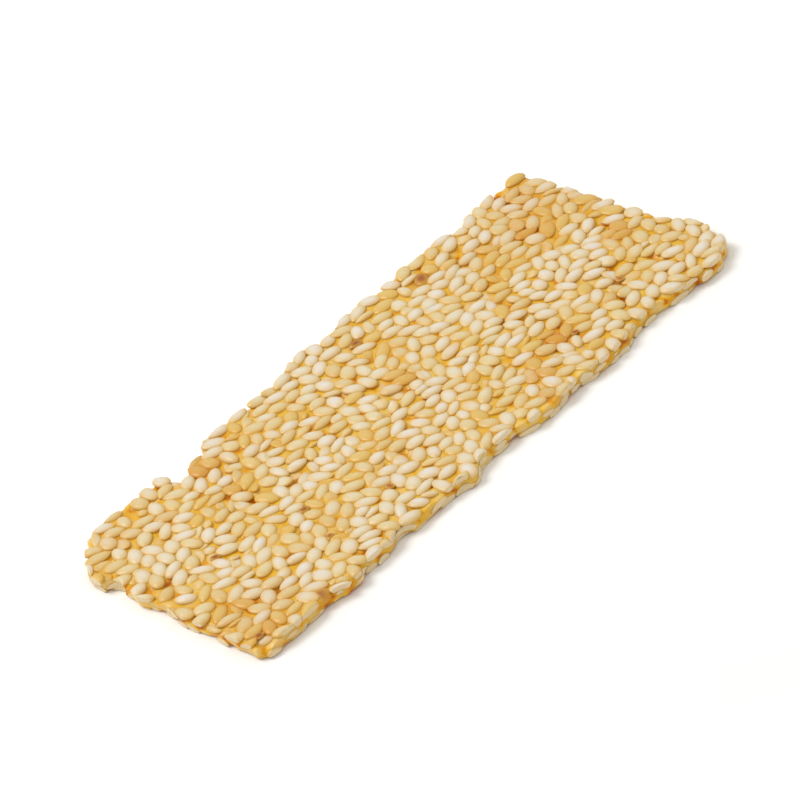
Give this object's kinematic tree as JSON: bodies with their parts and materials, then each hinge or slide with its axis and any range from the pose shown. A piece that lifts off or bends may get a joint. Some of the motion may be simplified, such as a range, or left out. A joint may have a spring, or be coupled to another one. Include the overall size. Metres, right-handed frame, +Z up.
{
  "type": "sesame brittle slab",
  "caption": "Thin rectangular slab of toasted sesame seeds set in boiled sugar, knife-cut with slightly torn edges; lies flat.",
  "frame": {"origin": "centre of the bounding box, on the flat underside", "axes": "+X along the long cut edges, from the end with the large rounded corner and the notch to the other end; +Y across the slab, towards the notched long edge; +Z up through the thickness"},
  "size_m": [0.1004, 0.0458, 0.0025],
  "materials": {
    "sesame_slab": "cream-white to golden toasted sesame seeds, close packed in glossy amber boiled sugar"
  },
  "bodies": {
    "root": {"sesame_slab": "sesame_slab"}
  },
  "joints": []
}
